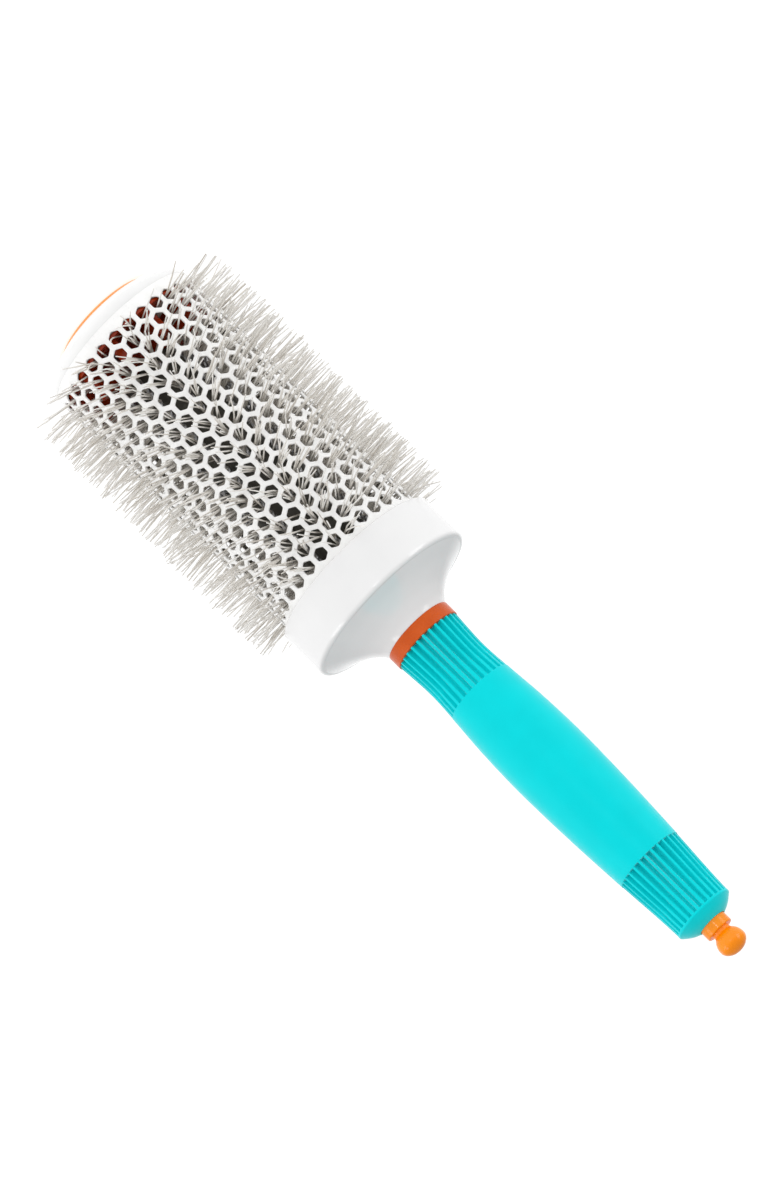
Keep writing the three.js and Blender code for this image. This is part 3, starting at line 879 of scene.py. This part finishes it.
def soft_light(name, place, size, power):
    """An area light that faces the middle of the brush and is not seen itself."""
    light = bpy.data.lights.new(name, "AREA")
    light.shape = "RECTANGLE"
    light.size, light.size_y = size
    light.energy = power
    made = bpy.data.objects.new(name, light)
    made.location = place
    aim = Vector((0, 0, AIM_Z)) - made.location
    made.rotation_mode = "QUATERNION"
    made.rotation_quaternion = aim.to_track_quat("-Z", "Y")
    made.visible_camera = False
    bpy.context.scene.collection.objects.link(made)


def surroundings():
    """A pale studio: bright near the horizon and dimmer overhead."""
    world = bpy.data.worlds.new("studio")
    world.use_nodes = True
    tree = world.node_tree
    place = tree.nodes.new("ShaderNodeTexCoord")
    split = tree.nodes.new("ShaderNodeSeparateXYZ")
    fade = tree.nodes.new("ShaderNodeValToRGB")
    for stop, (height, colour) in zip(fade.color_ramp.elements, (HORIZON, OVERHEAD)):
        stop.position = height
        stop.color = colour
    tree.links.new(place.outputs["Generated"], split.inputs["Vector"])
    tree.links.new(split.outputs["Z"], fade.inputs["Fac"])
    tree.links.new(fade.outputs["Color"], tree.nodes["Background"].inputs["Color"])
    tree.nodes["Background"].inputs["Strength"].default_value = 1.0
    bpy.context.scene.world = world


def camera():
    """Looks at the brush from in front and a little above, rolled so that the handle points down to
    the right."""
    back = Vector((0, -math.cos(CAMERA_ELEVATION), math.sin(CAMERA_ELEVATION)))
    level = Vector((1, 0, 0))
    upright = Vector((0, math.sin(CAMERA_ELEVATION), math.cos(CAMERA_ELEVATION)))
    right = level * math.cos(CAMERA_ROLL) + upright * math.sin(CAMERA_ROLL)
    up = upright * math.cos(CAMERA_ROLL) - level * math.sin(CAMERA_ROLL)
    data = bpy.data.cameras.new("camera")
    data.lens = CAMERA_LENS
    data.clip_end = 100
    made = bpy.data.objects.new("camera", data)
    place = Vector((0, 0, AIM_Z)) + back * CAMERA_DISTANCE - right * CAMERA_LEFT + up * CAMERA_UP
    turn_to = Matrix((right, up, back)).transposed().to_4x4()
    made.matrix_world = Matrix.Translation(place) @ turn_to
    bpy.context.scene.collection.objects.link(made)
    bpy.context.scene.camera = made


floor()
surroundings()
soft_light("light_left", (-1.3, -0.5, 0.45), *SIDE_LIGHT)
soft_light("light_right", (1.3, -0.5, 0.45), *SIDE_LIGHT)
soft_light("light_front", (-0.1, -1.3, 0.14), *FRONT_LIGHT)
camera()
bpy.context.scene.view_settings.view_transform = "Standard"
